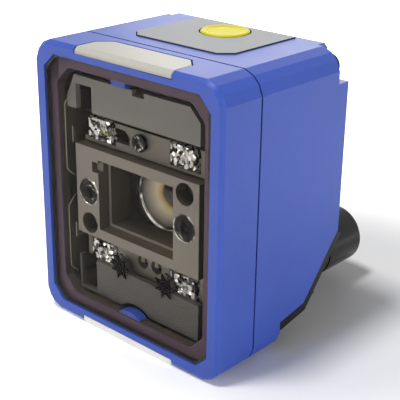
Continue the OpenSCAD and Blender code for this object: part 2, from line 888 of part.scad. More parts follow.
module lamp_lenses() {
    color([0.9, 0.95, 0.95, 0.5]) placed() at_lamps() difference() {
        translate([-lamp_w / 2, bar_back - 2, -lamp_h / 2]) cube([lamp_w, 2, lamp_h]);
        translate([-1.4, bar_back - 1, -1.4]) cube([2.8, 2, 2.8]);
        translate([0, bar_back - 2 - 1.7, 0]) sphere(r = 2.2);
    }
}

module lamp_emitters() {
    color([0.95, 0.9, 0.55]) placed() at_lamps()
        translate([-1.2, bar_back - 0.7, -1.2]) cube([2.4, 0.7, 2.4]);
}

module bar_screw() {
    color([0.7, 0.7, 0.7]) placed() translate([0, 0, axis_z + lamp_z]) difference() {
        union() {
            rod(0, 0, bar_screw_r, bar_y, chassis_y);
            rod(0, 0, bar_head_r, bar_y - bar_head_h, bar_y);
        }
        translate([0, bar_y - bar_head_h / 2, 0]) rotate([90, 0, 0])
            cylinder(r = bar_head_r * 0.5, h = 2, $fn = 6);
    }
}

module aiming_modules() {
    color([0.55, 0.45, 0.2]) placed() for (s = sides)
        translate([s * mask_screw_x, 0, axis_z + s * aim_z]) difference() {
            rod(0, 0, aim_module_r, aim_module_y, aim_module_end);
            rod(0, 0, aim_module_r * 0.5, aim_module_y - over, aim_module_y + 1.5);
        }
}

module chassis() {
    color([0.5, 0.5, 0.52]) placed() difference() {
        union() {
            along_y(chassis_y, chassis_back) translate([0, axis_z]) {
                square([2 * chassis_half_w, 2 * chassis_half_h], center = true);
                translate([-chassis_tab_w, -chassis_down])
                    square([2 * chassis_tab_w, chassis_up + chassis_down]);
            }
            rod(0, axis_z + lamp_z, post_r, lamp_board_back, chassis_y);
            for (x = sides * pin_x) {
                rod(x, axis_z - pin_z, post_r, lamp_board_back, chassis_y);
                rod(x, axis_z - pin_z, pin_post_r, bar_y - gap, lamp_board_back);
            }
        }
        rod(0, axis_z, lens_r + lens_ring_w + gap, chassis_y - over, chassis_back + over);
        rod(0, axis_z + lamp_z, bar_screw_r + slip, lamp_board_back - over, chassis_y + gap);
        for (s = sides) {
            rod(s * mask_screw_x, axis_z, mask_screw_r + slip, chassis_y - over, chassis_back + over);
            rod(
                s * mask_screw_x, axis_z + s * aim_z, aim_module_r + slip,
                chassis_y - over, chassis_back + over
            );
        }
        for (x = sides * chassis_hold_x, z = sides * chassis_hold_z)
            rod(x, axis_z + z, chassis_screw_r + slip, chassis_y - over, chassis_back + over);
    }
}

module chassis_screws() {
    color([0.7, 0.7, 0.7]) placed() for (x = sides * chassis_hold_x, z = sides * chassis_hold_z)
        translate([x, 0, axis_z + z]) socket_screw(chassis_screw_r, 1.6, 1.2, chassis_back, chassis_y - 3.6);
}

module lens_barrel() {
    color([0.15, 0.15, 0.15]) placed() difference() {
        rod(0, axis_z, lens_r, barrel_y, barrel_end);
        cone(0, axis_z, barrel_mouth, barrel_bore, barrel_y - slip, barrel_y + barrel_cone_l);
        rod(0, axis_z, barrel_bore, barrel_y, barrel_end + over);
    }
}

module lens_lock_ring() {
    color([0.2, 0.2, 0.2]) placed() difference() {
        rod(0, axis_z, lens_r + lens_ring_w, chassis_back - lens_ring_t, chassis_back);
        rod(0, axis_z, lens_r + slip, chassis_y - over, chassis_back + over);
    }
}

// Lens element in the barrel, bulging by b at both faces
module lens_element(y0, y1, b) {
    r = barrel_bore - slip;
    ball = (r * r + b * b) / (2 * b);
    intersection() {
        rod(0, axis_z, r, y0 - over, y1 + over);
        translate([0, y0 + ball, axis_z]) sphere(r = ball, $fn = 320);
        translate([0, y1 - ball, axis_z]) sphere(r = ball, $fn = 320);
    }
}

module front_lens() {
    color([0.8, 0.85, 0.9, 0.5]) placed() lens_element(barrel_y + 0.1, barrel_y + 3.1, 1.2);
}

module rear_lens() {
    color([0.8, 0.85, 0.9, 0.5]) placed() lens_element(barrel_end - 2.4, barrel_end - 0.4, 0.8);
}

module at_holder_screws() {
    for (s = sides) translate([s * holder_screw_x, 0, axis_z - s * holder_screw_x]) children();
}

module lens_holder() {
    color([0.18, 0.18, 0.18]) placed() difference() {
        along_y(chassis_back, holder_end) translate([0, axis_z]) square(holder_w, center = true);
        rod(0, axis_z, lens_r + slip, chassis_back - over, barrel_end + gap);
        along_y(barrel_end, holder_end + over) translate([0, axis_z])
            square([sensor_w + 2, sensor_h + 2], center = true);
        at_holder_screws() rod(0, 0, holder_screw_r + slip, chassis_back + 1, holder_end + over);
    }
}

module holder_screws() {
    color([0.7, 0.7, 0.7]) placed() at_holder_screws()
        socket_screw(holder_screw_r, board_head_r, board_head_h, holder_end + board_t, chassis_back + 1.4);
}

module image_sensor() {
    color([0.3, 0.3, 0.4]) placed() along_y(holder_end - sensor_t, holder_end)
        translate([0, axis_z]) square([sensor_w, sensor_h], center = true);
}

module sensor_board() {
    color([0.1, 0.3, 0.18]) placed() difference() {
        along_y(holder_end, holder_end + board_t) translate([0, axis_z])
            square([sensor_board_w, sensor_board_h], center = true);
        at_holder_screws() rod(0, 0, holder_screw_r + slip, holder_end - over, holder_end + board_t + over);
    }
}

module at_pillars() {
    for (x = sides * pillar_x, z = pillar_z) translate([x, 0, axis_z + z]) children();
}

module board_pillars() {
    color([0.75, 0.7, 0.5]) placed() at_pillars() difference() {
        translate([0, processor_y, 0]) rotate([90, 0, 0])
            cylinder(r = pillar_r, h = processor_y - chassis_back, $fn = 6);
        rod(0, 0, board_screw_r + slip, processor_y - 5, processor_y + over);
    }
}

module processor_board() {
    color([0.1, 0.3, 0.18]) placed() difference() {
        block(
            [-processor_w / 2, processor_y, axis_z - processor_low],
            [processor_w / 2, processor_y + board_t, axis_z + processor_top]
        );
        at_pillars() rod(0, 0, board_screw_r + slip, processor_y - over, processor_y + board_t + over);
    }
}

module board_screws() {
    color([0.7, 0.7, 0.7]) placed() at_pillars()
        socket_screw(board_screw_r, board_head_r, board_head_h, processor_y + board_t, processor_y - 4);
}

module processor_chip() {
    color([0.1, 0.1, 0.1]) placed() along_y(processor_y + board_t, processor_y + board_t + chip_t)
        translate([0, axis_z + chip_up]) square(chip_w, center = true);
}

module board_connector() {
    color([0.85, 0.82, 0.75]) placed() along_y(holder_end + board_t, processor_y)
        translate([0, axis_z - plug_down]) square([plug_w, plug_h], center = true);
}

module beeper() {
    color([0.1, 0.1, 0.1]) placed() difference() {
        rod(beeper_x, axis_z + beeper_up, beeper_r, processor_y - beeper_h, processor_y);
        rod(
            beeper_x, axis_z + beeper_up, beeper_hole_r,
            processor_y - beeper_h - over, processor_y - beeper_h / 2
        );
    }
}

// Keypad

module keypad_panel() {
    color([0.68, 0.68, 0.65]) placed() difference() {
        translate([0, 0, panel_z]) linear_extrude(panel_t) panel_section();
        translate([0, button_y, panel_z - over]) cylinder(r = button_r + gap, h = panel_t + 2 * over);
    }
}

module button() {
    rim = 0.25;
    color([0.98, 0.86, 0.25]) placed() translate([0, button_y, 0]) {
        translate([0, 0, flange_top - flange_t]) cylinder(r = flange_r, h = flange_t);
        translate([0, 0, flange_top - rim]) cylinder(r = button_r, h = button_top - flange_top);
        translate([0, 0, button_top - rim]) cylinder(r1 = button_r, r2 = button_r - rim, h = rim);
    }
}

module push_switch() {
    color([0.8, 0.8, 0.8]) placed() translate([0, button_y, keypad_top]) {
        translate([-2.4, -2.4, 0]) cube([4.8, 4.8, switch_h * 0.7]);
        cylinder(r = 1.4, h = switch_h);
    }
}

module keypad_board() {
    color([0.1, 0.3, 0.18]) placed() difference() {
        block(
            [-panel_w / 2 + 0.6, panel_y + 1.2, keypad_top - board_t],
            [panel_w / 2 - 0.6, panel_end - 0.5, keypad_top]
        );
        at_keypad_screws() translate([0, 0, keypad_top - 2 * board_t])
            cylinder(r = keypad_screw_r + slip, h = 3 * board_t);
    }
}

module keypad_screws() {
    color([0.7, 0.7, 0.7]) placed() at_keypad_screws() translate([0, 0, keypad_top - board_t]) {
        cylinder(r = keypad_screw_r, h = board_t + 1.4);
        translate([0, 0, -board_head_h]) cylinder(r = board_head_r, h = board_head_h);
    }
}

// Connectors

module connector_block() {
    p = foot_line(block_out - gap);
    color([0.1, 0.1, 0.11]) placed() difference() {
        union() {
            across(2 * block_side) polygon(foot_layer(block_seal_t, block_out));
            across(block_w) polygon([
                p[1], [p[1][0] + 1.5, block_low], [block_y, block_low],
                [block_y, p[2][1] - 1], [p[2][0], p[2][1]]
            ]);
        }
        at_block_screws(block_out - block_head_h) cylinder(r = block_head_r + slip, h = block_head_h + over);
        at_block_screws(0) cylinder(r = block_screw_r + slip, h = block_out + over);
        on_slope(0, slope_l / 2, 0) cube([duct_w, duct_l, 2 * block_out], center = true);
    }
}

module block_gasket() {
    color([0.05, 0.05, 0.05]) placed() difference() {
        across(2 * block_side) polygon(foot_layer(0, block_seal_t));
        at_block_screws(-over) cylinder(r = block_screw_r + gap, h = block_out + over);
        on_slope(0, slope_l / 2, 0) cube([duct_w, duct_l, 4 * block_out], center = true);
    }
}

module block_screws() {
    color([0.6, 0.6, 0.62]) placed() at_block_screws(block_out - block_head_h) difference() {
        union() {
            translate([0, 0, block_head_h - block_out - wall - 1.6])
                cylinder(r = block_screw_r, h = block_out + wall + 1.6);
            cylinder(r = block_head_r, h = block_head_h);
        }
        translate([0, 0, block_head_h / 2]) cylinder(r = block_head_r * 0.5, h = 2, $fn = 6);
    }
}

// Barrel of a connector with its socket and the groove of its seal
module connector_shell(x) {
    difference() {
        union() {
            rod(x, port_z, neck_r, block_y, neck_end);
            rod(x, port_z, port_r, neck_end, port_end);
        }
        rod(x, port_z, socket_r, insert_y, port_end + over);
        translate([x, neck_end - seal_r, port_z]) rotate([90, 0, 0]) rotate_extrude()
            translate([neck_r - 0.2, 0]) circle(r = seal_r + slip, $fn = 24);
    }
}

// Insulating body that carries the contacts
module connector_insert(x) {
    rod(x, port_z, socket_r - slip, insert_y, insert_end);
}

// Place of each contact: rings of [count, radius]
module at_contacts(x, rings) {
    for (ring = rings, i = [0 : ring[0] - 1])
        translate([x + ring[1] * cos(360 * i / ring[0]), 0, port_z + ring[1] * sin(360 * i / ring[0])])
            children();
}

power_rings = [[12, 3.6], [5, 1.7]];
network_rings = [[8, 3.2]];
contact_r = 0.4;

module insert_with_holes(x, rings) {
    difference() {
        connector_insert(x);
        at_contacts(x, rings) rod(0, 0, contact_r, insert_end - 3, insert_end + over);
    }
}

module contacts(x, rings) {
    at_contacts(x, rings) rod(0, 0, contact_r, insert_end - 3, insert_end + pin_l);
}

module power_connector() {
    color([0.08, 0.08, 0.08]) placed() connector_shell(port_x);
}

module power_insert() {
    color([0.15, 0.15, 0.15]) placed() insert_with_holes(port_x, power_rings);
}

module power_pins() {
    color([0.85, 0.7, 0.35]) placed() contacts(port_x, power_rings);
}

module network_connector() {
    color([0.08, 0.08, 0.08]) placed() connector_shell(-port_x);
}

module network_insert() {
    color([0.15, 0.15, 0.15]) placed() insert_with_holes(-port_x, network_rings);
}

module network_pins() {
    color([0.85, 0.7, 0.35]) placed() contacts(-port_x, network_rings);
}

module connector_seals() {
    color([0.04, 0.04, 0.04]) placed() for (x = sides * port_x)
        translate([x, neck_end - seal_r, port_z]) rotate([90, 0, 0]) rotate_extrude()
            translate([neck_r - 0.2, 0]) circle(r = seal_r, $fn = 24);
}

front_cover();
rear_housing();
cover_seal();
cover_screws();
window_glass();
window_gasket();
window_bond();
upper_indicator();
lower_indicator();
indicator_leds();
inner_mask();
mask_screws();
upper_plate();
lower_plate();
star_clips();
upper_lamp_bar();
lower_lamp_bar();
upper_lamp_board();
lower_lamp_board();
lamp_lenses();
lamp_emitters();
bar_screw();
aiming_modules();
chassis();
chassis_screws();
lens_barrel();
lens_lock_ring();
front_lens();
rear_lens();
lens_holder();
holder_screws();
image_sensor();
sensor_board();
board_pillars();
processor_board();
board_screws();
processor_chip();
board_connector();
beeper();
keypad_panel();
button();
push_switch();
keypad_board();
keypad_screws();
connector_block();
block_gasket();
block_screws();
power_connector();
power_insert();
power_pins();
network_connector();
network_insert();
network_pins();
connector_seals();
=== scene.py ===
import json
import math

import bmesh
import bpy
from mathutils import Matrix, Vector


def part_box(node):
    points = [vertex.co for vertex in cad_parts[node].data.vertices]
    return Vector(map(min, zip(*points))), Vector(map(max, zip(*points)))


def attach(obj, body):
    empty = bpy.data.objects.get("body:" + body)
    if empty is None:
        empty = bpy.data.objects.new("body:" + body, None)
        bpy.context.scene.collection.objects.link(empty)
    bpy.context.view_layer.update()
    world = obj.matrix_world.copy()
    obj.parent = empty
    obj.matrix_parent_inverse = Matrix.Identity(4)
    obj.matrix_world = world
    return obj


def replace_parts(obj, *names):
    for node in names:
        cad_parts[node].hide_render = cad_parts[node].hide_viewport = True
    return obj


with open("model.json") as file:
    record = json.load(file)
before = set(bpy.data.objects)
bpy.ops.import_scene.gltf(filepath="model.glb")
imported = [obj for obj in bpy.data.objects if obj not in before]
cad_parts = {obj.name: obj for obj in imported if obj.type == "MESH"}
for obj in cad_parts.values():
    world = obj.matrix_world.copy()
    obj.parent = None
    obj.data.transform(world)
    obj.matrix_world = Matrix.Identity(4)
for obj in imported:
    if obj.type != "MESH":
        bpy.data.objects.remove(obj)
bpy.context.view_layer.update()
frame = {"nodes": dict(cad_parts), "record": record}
scene = bpy.context.scene
nodes = frame["nodes"]
bodyOf = {n: b for b, names in frame["record"]["behaviour"]["bodies"].items() for n in names}
mm = 0.001
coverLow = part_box("front_cover")[0]
frontY = coverLow.y
footZ = coverLow.z


def place(x, y, z):  # mm across, behind the front face and above the foot
    return Vector((x * mm, frontY + y * mm, footZ + z * mm))


# camera and light

cameraSet = {  # place in mm, angles in degrees
    "place": (120.047, -112.677, 98.105),
    "azimuth": 41.951,
    "elevation": 22.558,
    "roll": 0.753,
    "lens": 88.37,
    "sensor": 36,
    "clip": 0.01,
}


def makeCamera(s):
    azimuth, elevation, roll = (math.radians(s[key]) for key in ("azimuth", "elevation", "roll"))
    level = math.cos(elevation)
    back = Vector((math.sin(azimuth) * level, -math.cos(azimuth) * level, math.sin(elevation)))
    right = Vector((math.cos(azimuth), math.sin(azimuth), 0))
    up = back.cross(right)
    rolledRight = right * math.cos(roll) + up * math.sin(roll)
    rolledUp = up * math.cos(roll) - right * math.sin(roll)
    turn = Matrix((rolledRight, rolledUp, back)).transposed().to_4x4()
    data = bpy.data.cameras.new("view")
    data.lens = s["lens"]
    data.sensor_width = s["sensor"]
    data.clip_start = s["clip"]
    cam = bpy.data.objects.new("view", data)
    cam.matrix_world = Matrix.Translation(place(*s["place"])) @ turn
    scene.collection.objects.link(cam)
    scene.camera = cam


lampAim = (0, 18, 28)  # about the middle of the reader, in mm
lampSet = {  # place in mm, size in metres, and watts
    "key": {"place": (-45, -110, 455), "size": 0.08, "watts": 1.36},
    "front": {"place": (-90, -440, 60), "size": 0.34, "watts": 0.85},
    "side": {"place": (450, -40, 25), "size": 0.34, "watts": 1.8},
    "back": {"place": (-228, 383, 130), "size": 0.24, "watts": 0.35},
}


def makeLamps(lamps):
    aim = place(*lampAim)
    for name, s in lamps.items():
        data = bpy.data.lights.new("lamp_" + name, "AREA")
        data.size = s["size"]
        data.energy = s["watts"]
        lamp = bpy.data.objects.new("lamp_" + name, data)
        lamp.location = place(*s["place"])
        lamp.rotation_euler = (aim - lamp.location).to_track_quat("-Z", "Y").to_euler()
        scene.collection.objects.link(lamp)


def addNode(tree, kind, inputs=None, **attributes):
    made = tree.nodes.new(kind)
    for key, value in attributes.items():
        setattr(made, key, value)
    for key, value in (inputs or {}).items():
        if isinstance(value, bpy.types.NodeSocket):
            tree.links.new(value, made.inputs[key])
        else:
            made.inputs[key].default_value = value
    return made


def mathOf(tree, operation, *values):
    return addNode(tree, "ShaderNodeMath", dict(enumerate(values)), operation=operation).outputs[0]


def vectorOf(tree, operation, *values):
    return addNode(tree, "ShaderNodeVectorMath", dict(enumerate(values)), operation=operation).outputs


def mixOf(tree, *values):  # amount, first shader, second shader
    return addNode(tree, "ShaderNodeMixShader", dict(enumerate(values))).outputs[0]


def objectCoords(tree):
    return addNode(tree, "ShaderNodeTexCoord").outputs["Object"]


def rampStops(ramp, spots, tones):
    for stop, spot, tone in zip(ramp.color_ramp.elements, spots, tones):
        stop.position = spot
        stop.color = (*tone, 1)


stageSet = {  # shade is the middle of the shadow in mm, fade is where the floor turns white, in metres
    "half": 3.0, "worldLight": 0.16, "white": (1, 1, 1, 1),
    "floorTone": 0.88, "floorRough": 0.85, "floorSpecular": 0.1,
    "shade": (14, 40), "fade": (0.030, 0.085),
}


def seesStage(tree):  # 1 for rays that show the background, 0 for rays that carry light
    path = addNode(tree, "ShaderNodeLightPath").outputs
    shiny = mathOf(tree, "MAXIMUM", path["Is Glossy Ray"], path["Is Transmission Ray"])
    return mathOf(tree, "MAXIMUM", path["Is Camera Ray"], shiny)


def makeWorld(s):
    world = bpy.data.worlds.new("studio")
    scene.world = world
    world.use_nodes = True
    tree = world.node_tree
    shown = tree.nodes["Background"]
    shown.inputs["Color"].default_value = s["white"]
    shown.inputs["Strength"].default_value = 1.0
    soft = addNode(tree, "ShaderNodeBackground", {"Color": s["white"], "Strength": s["worldLight"]})
    mix = mixOf(tree, seesStage(tree), soft.outputs[0], shown.outputs[0])
    tree.links.new(mix, tree.nodes["World Output"].inputs["Surface"])


def floorFinish(s):
    mat = bpy.data.materials.new("floorWhite")
    mat.use_nodes = True
    tree = mat.node_tree
    shader = tree.nodes["Principled BSDF"]
    tone = s["floorTone"]
    shader.inputs["Base Color"].default_value = (tone, tone, tone, 1)
    shader.inputs["Roughness"].default_value = s["floorRough"]
    shader.inputs["Specular IOR Level"].default_value = s["floorSpecular"]
    shader.inputs["Emission Color"].default_value = s["white"]
    # away from the shadow the floor turns plain white, only for the rays that show it
    away = vectorOf(tree, "DISTANCE", objectCoords(tree), place(*s["shade"], 0))["Value"]
    near, far = s["fade"]
    inputs = {"Value": away, "From Min": near, "From Max": far}
    white = addNode(tree, "ShaderNodeMapRange", inputs, interpolation_type="SMOOTHSTEP").outputs[0]
    lift = mathOf(tree, "MULTIPLY", seesStage(tree), white)
    tree.links.new(lift, shader.inputs["Emission Strength"])
    return mat


def makeFloor(s):
    bm = bmesh.new()
    bmesh.ops.create_grid(bm, x_segments=1, y_segments=1, size=s["half"])
    bmesh.ops.translate(bm, verts=bm.verts, vec=(0, 0, footZ))
    mesh = bpy.data.meshes.new("floor")
    bm.to_mesh(mesh)
    bm.free()
    floor = bpy.data.objects.new("floor", mesh)
    scene.collection.objects.link(floor)
    mesh.materials.append(floorFinish(s))


makeCamera(cameraSet)
makeLamps(lampSet)
makeWorld(stageSet)
makeFloor(stageSet)
print("stage: camera, lamps and floor are set")


# materials

finishes = {}
finishSet = {  # two tones, roughness from and to, grain size and bump height in mm
    "housingBlue": {
        "tone": (0.020, 0.062, 0.372), "other": (0.031, 0.081, 0.440),
        "rough": (0.36, 0.46), "grain": 0.3, "bump": 0.022, "coat": 0.1, "coatRough": 0.3, "specular": 0.4,
    },
    # dark inside walls; on the hood, the housing and the low boss sides this is painted shade
    "insideDark": {
        "tone": (0.052, 0.041, 0.028), "other": (0.064, 0.051, 0.035),
        "rough": (0.4, 0.5), "grain": 0.3, "bump": 0.002, "specular": 0.25,
    },
    # painted highlight on the front edges of the guide pads
    "ribLight": {
        "tone": (0.416, 0.384, 0.312), "other": (0.496, 0.464, 0.384),
        "rough": (0.35, 0.45), "grain": 0.3, "bump": 0.002,
    },
    # black of the lamp boards and clips, also used for painted shadow lines and painted shade
    "deepBlack": {
        "tone": (0.005, 0.004, 0.004), "other": (0.009, 0.008, 0.007),
        "rough": (0.7, 0.8), "grain": 0.3, "bump": 0.002, "specular": 0.0,
    },
    "blackRubber": {
        "tone": (0.008, 0.008, 0.010), "other": (0.014, 0.014, 0.016),
        "rough": (0.55, 0.7), "grain": 0.4, "bump": 0.004,
    },
    "blackSteel": {
        "tone": (0.008, 0.007, 0.007), "other": (0.016, 0.015, 0.014),
        "rough": (0.10, 0.18), "grain": 0.5, "bump": 0.0006, "specular": 0.1,
    },
    "wornBlack": {  # bright only where the blacking has worn off
        "tone": (0.010, 0.009, 0.009), "other": (0.60, 0.59, 0.57), "stops": (0.615, 0.70),
        "rough": (0.12, 0.2), "grain": 0.5, "bump": 0.02, "metal": 0.9, "specular": 0.1,
    },
    "rimSteel": {
        "tone": (0.02, 0.02, 0.02), "other": (0.62, 0.61, 0.59), "stops": (0.51, 0.58),
        "rough": (0.1, 0.2), "grain": 0.9, "bump": 0.3, "metal": 1.0,
    },
    "mouthSteel": {
        "tone": (0.01, 0.01, 0.01), "other": (0.62, 0.60, 0.56), "stops": (0.48, 0.58),
        "rough": (0.2, 0.3), "grain": 2.4, "bump": 0.02, "metal": 0.9,
    },
    "brightSteel": {
        "tone": (0.52, 0.52, 0.52), "other": (0.64, 0.64, 0.63),
        "rough": (0.22, 0.36), "grain": 0.6, "bump": 0.003, "metal": 1.0,
    },
    "dullSteel": {
        "tone": (0.13, 0.12, 0.11), "other": (0.22, 0.21, 0.19),
        "rough": (0.16, 0.28), "grain": 0.6, "bump": 0.006, "metal": 0.9,
    },
    "guideCream": {
        "tone": (0.470, 0.452, 0.405), "other": (0.512, 0.494, 0.440),
        "rough": (0.30, 0.38), "grain": 1.2, "bump": 0.004, "subsurface": 0.15, "specular": 0.12,
    },
    "guideWhite": {
        "tone": (0.80, 0.80, 0.77), "other": (0.84, 0.84, 0.81),
        "rough": (0.30, 0.38), "grain": 1.2, "bump": 0.004, "subsurface": 0.15,
    },
    "bondTint": {
        "tone": (0.046, 0.019, 0.038), "other": (0.058, 0.026, 0.050),
        "rough": (0.5, 0.6), "grain": 0.8, "bump": 0.003,
    },
    "maskGrey": {
        "tone": (0.178, 0.158, 0.139), "other": (0.207, 0.186, 0.163),
        "rough": (0.45, 0.58), "grain": 0.35, "bump": 0.003,
    },
    "plateGrey": {
        "tone": (0.157, 0.148, 0.141), "other": (0.179, 0.169, 0.160),
        "rough": (0.45, 0.58), "grain": 0.3, "bump": 0.003,
    },
    "lowerGrey": {
        "tone": (0.037, 0.033, 0.030), "other": (0.050, 0.046, 0.042),
        "rough": (0.34, 0.46), "grain": 0.3, "bump": 0.003,
    },
    "barBrown": {
        "tone": (0.134, 0.119, 0.101), "other": (0.162, 0.146, 0.125),
        "rough": (0.42, 0.55), "grain": 0.3, "bump": 0.003,
    },
    "lensBlack": {
        "tone": (0.014, 0.012, 0.010), "other": (0.024, 0.021, 0.018),
        "rough": (0.3, 0.42), "grain": 0.5, "bump": 0.003,
    },
    "boardGreen": {
        "tone": (0.016, 0.075, 0.035), "other": (0.025, 0.11, 0.05),
        "rough": (0.35, 0.5), "grain": 1.5, "bump": 0.006,
    },
    "brassTurned": {
        "tone": (0.10, 0.075, 0.04), "other": (0.16, 0.12, 0.06),
        "rough": (0.3, 0.45), "grain": 0.5, "bump": 0.003, "metal": 0.8,
    },
    "chipBlack": {
        "tone": (0.015, 0.015, 0.016), "other": (0.03, 0.03, 0.03),
        "rough": (0.5, 0.65), "grain": 0.4, "bump": 0.004,
    },
    "plugCream": {
        "tone": (0.62, 0.58, 0.47), "other": (0.68, 0.64, 0.53),
        "rough": (0.45, 0.55), "grain": 0.7, "bump": 0.004,
    },
    "panelGrey": {
        "tone": (0.298, 0.308, 0.318), "other": (0.330, 0.340, 0.350),
        "rough": (0.42, 0.5), "grain": 0.25, "bump": 0.004, "specular": 0.12,
    },
    # painted shade on the sides of the keypad sheet
    "panelEdgeShade": {
        "tone": (0.020, 0.024, 0.045), "other": (0.032, 0.036, 0.06),
        "rough": (0.5, 0.6), "grain": 0.25, "bump": 0.004,
    },
    "buttonYellow": {
        "tone": (0.69, 0.610, 0.008), "other": (0.73, 0.655, 0.016),
        "rough": (0.34, 0.42), "grain": 0.4, "bump": 0.003, "specular": 0.05,
    },
    "connectorBlack": {
        "tone": (0.006, 0.005, 0.005), "other": (0.010, 0.008, 0.008),
        "rough": (0.20, 0.28), "grain": 0.3, "bump": 0.003, "specular": 0.22,
    },
    "contactGold": {
        "tone": (0.75, 0.52, 0.18), "other": (0.85, 0.62, 0.24),
        "rough": (0.18, 0.3), "grain": 0.5, "bump": 0.002, "metal": 1.0,
    },
    "phosphor": {
        "tone": (0.68, 0.62, 0.30), "other": (0.80, 0.74, 0.44),
        "rough": (0.3, 0.45), "grain": 0.5, "bump": 0.006,
    },
}
grainSet = {  # what the finishes above have unless they say otherwise, lengths in mm
    "broad": 9, "broadDetail": 4, "fineDetail": 3, "blend": 0.5, "spread": (0.3, 0.7), "stops": (0.3, 0.7),
    "metal": 0, "specular": 0.5, "coat": 0, "coatRough": 0.2,
    "subsurfaceScale": 0.6, "subsurfaceRadius": (1, 0.9, 0.7),
}


def newFinish(name):
    mat = bpy.data.materials.new(name)
    mat.use_nodes = True
    finishes[name] = mat
    return mat.node_tree


def noiseOf(tree, coords, size, detail=2):
    inputs = {"Vector": coords, "Scale": 1 / (size * mm), "Detail": detail}
    return addNode(tree, "ShaderNodeTexNoise", inputs).outputs["Fac"]


def grainFinish(name, own, shared=grainSet):
    s = {**shared, **own}
    tree = newFinish(name)
    shader = tree.nodes["Principled BSDF"]
    coords = objectCoords(tree)
    fine = noiseOf(tree, coords, s["grain"], s["fineDetail"])
    broad = noiseOf(tree, coords, s["broad"], s["broadDetail"])
    blend = addNode(tree, "ShaderNodeMix", {0: s["blend"], 2: fine, 3: broad}, data_type="FLOAT").outputs[0]
    ramp = addNode(tree, "ShaderNodeValToRGB", {0: blend})
    rampStops(ramp, s["stops"], (s["tone"], s["other"]))
    tree.links.new(ramp.outputs[0], shader.inputs["Base Color"])
    spread = {"Value": blend, "From Min": s["spread"][0], "From Max": s["spread"][1]}
    rough = addNode(tree, "ShaderNodeMapRange", {**spread, "To Min": s["rough"][0], "To Max": s["rough"][1]})
    tree.links.new(rough.outputs[0], shader.inputs["Roughness"])
    bump = addNode(tree, "ShaderNodeBump", {"Strength": 1.0, "Distance": s["bump"] * mm, "Height": fine})
    tree.links.new(bump.outputs[0], shader.inputs["Normal"])
    shader.inputs["Metallic"].default_value = s["metal"]
    shader.inputs["Specular IOR Level"].default_value = s["specular"]
    shader.inputs["Coat Weight"].default_value = s["coat"]
    shader.inputs["Coat Roughness"].default_value = s["coatRough"]
    if "subsurface" in s:
        shader.inputs["Subsurface Weight"].default_value = s["subsurface"]
        shader.inputs["Subsurface Scale"].default_value = s["subsurfaceScale"] * mm
        shader.inputs["Subsurface Radius"].default_value = s["subsurfaceRadius"]


clearSet = {
    "windowClear": {"tint": (0.95, 0.94, 0.92), "ior": 1.11, "rough": 0.03, "haze": 0.003},
    "opticClear": {"tint": (0.55, 0.50, 0.45), "ior": 1.7, "rough": 0.05, "haze": 0.02},
}
hazeSet = {  # grain in mm; least and most are shares of the haze above
    "tone": (0.8, 0.8, 0.8), "grain": 6, "least": 0.6, "most": 1.4,
}


def clearFinish(name, s, h=hazeSet):  # light goes straight through, under gloss and a faint uneven haze
    tree = newFinish(name)
    tree.nodes.remove(tree.nodes["Principled BSDF"])
    through = addNode(tree, "ShaderNodeBsdfTransparent", {"Color": (*s["tint"], 1)}).outputs[0]
    haze = addNode(tree, "ShaderNodeBsdfDiffuse", {"Color": (*h["tone"], 1)}).outputs[0]
    gloss = addNode(tree, "ShaderNodeBsdfGlossy", {"Roughness": s["rough"]}).outputs[0]
    noise = noiseOf(tree, objectCoords(tree), h["grain"])
    inputs = {"Value": noise, "To Min": s["haze"] * h["least"], "To Max": s["haze"] * h["most"]}
    amount = addNode(tree, "ShaderNodeMapRange", inputs).outputs[0]
    body = mixOf(tree, amount, through, haze)
    fresnel = addNode(tree, "ShaderNodeFresnel", {"IOR": s["ior"]}).outputs[0]
    behind = addNode(tree, "ShaderNodeNewGeometry").outputs["Backfacing"]  # only the near face is glossy
    shine = mathOf(tree, "MULTIPLY", fresnel, mathOf(tree, "SUBTRACT", 1.0, behind))
    tree.links.new(mixOf(tree, shine, body, gloss), tree.nodes["Material Output"].inputs["Surface"])


sparkleSet = {  # cell is the size of a facet in mm; below clear a facet is clear, above white it is a mirror
    "cell": 0.62, "tilt": 1.2, "clear": 0.43, "white": 0.74, "rough": 0.05,
    "tint": (0.97, 0.97, 0.93), "mirror": (0.95, 0.95, 0.93), "pale": (0.84, 0.82, 0.84),
}


def sparkleFinish(name, s):  # moulded lamp optic: small flat facets that are clear, pale or mirror bright
    tree = newFinish(name)
    tree.nodes.remove(tree.nodes["Principled BSDF"])
    inputs = {"Vector": objectCoords(tree), "Scale": 1 / (s["cell"] * mm)}
    cells = addNode(tree, "ShaderNodeTexVoronoi", inputs).outputs["Color"]
    centred = vectorOf(tree, "SUBTRACT", cells, (0.5, 0.5, 0.5))[0]
    inputs = {0: centred, "Scale": s["tilt"]}
    lean = addNode(tree, "ShaderNodeVectorMath", inputs, operation="SCALE").outputs[0]
    normal = addNode(tree, "ShaderNodeNewGeometry").outputs["Normal"]
    turned = vectorOf(tree, "NORMALIZE", vectorOf(tree, "ADD", normal, lean)[0])[0]
    inputs = {"Color": (*s["mirror"], 1), "Roughness": s["rough"], "Normal": turned}
    mirror = addNode(tree, "ShaderNodeBsdfGlossy", inputs).outputs[0]
    pale = addNode(tree, "ShaderNodeBsdfDiffuse", {"Color": (*s["pale"], 1)}).outputs[0]
    through = addNode(tree, "ShaderNodeBsdfTransparent", {"Color": (*s["tint"], 1)}).outputs[0]
    share = addNode(tree, "ShaderNodeSeparateColor", {0: cells}).outputs["Green"]
    solid = mixOf(tree, mathOf(tree, "GREATER_THAN", share, s["clear"]), through, pale)
    mix = mixOf(tree, mathOf(tree, "GREATER_THAN", share, s["white"]), solid, mirror)
    tree.links.new(mix, tree.nodes["Material Output"].inputs["Surface"])


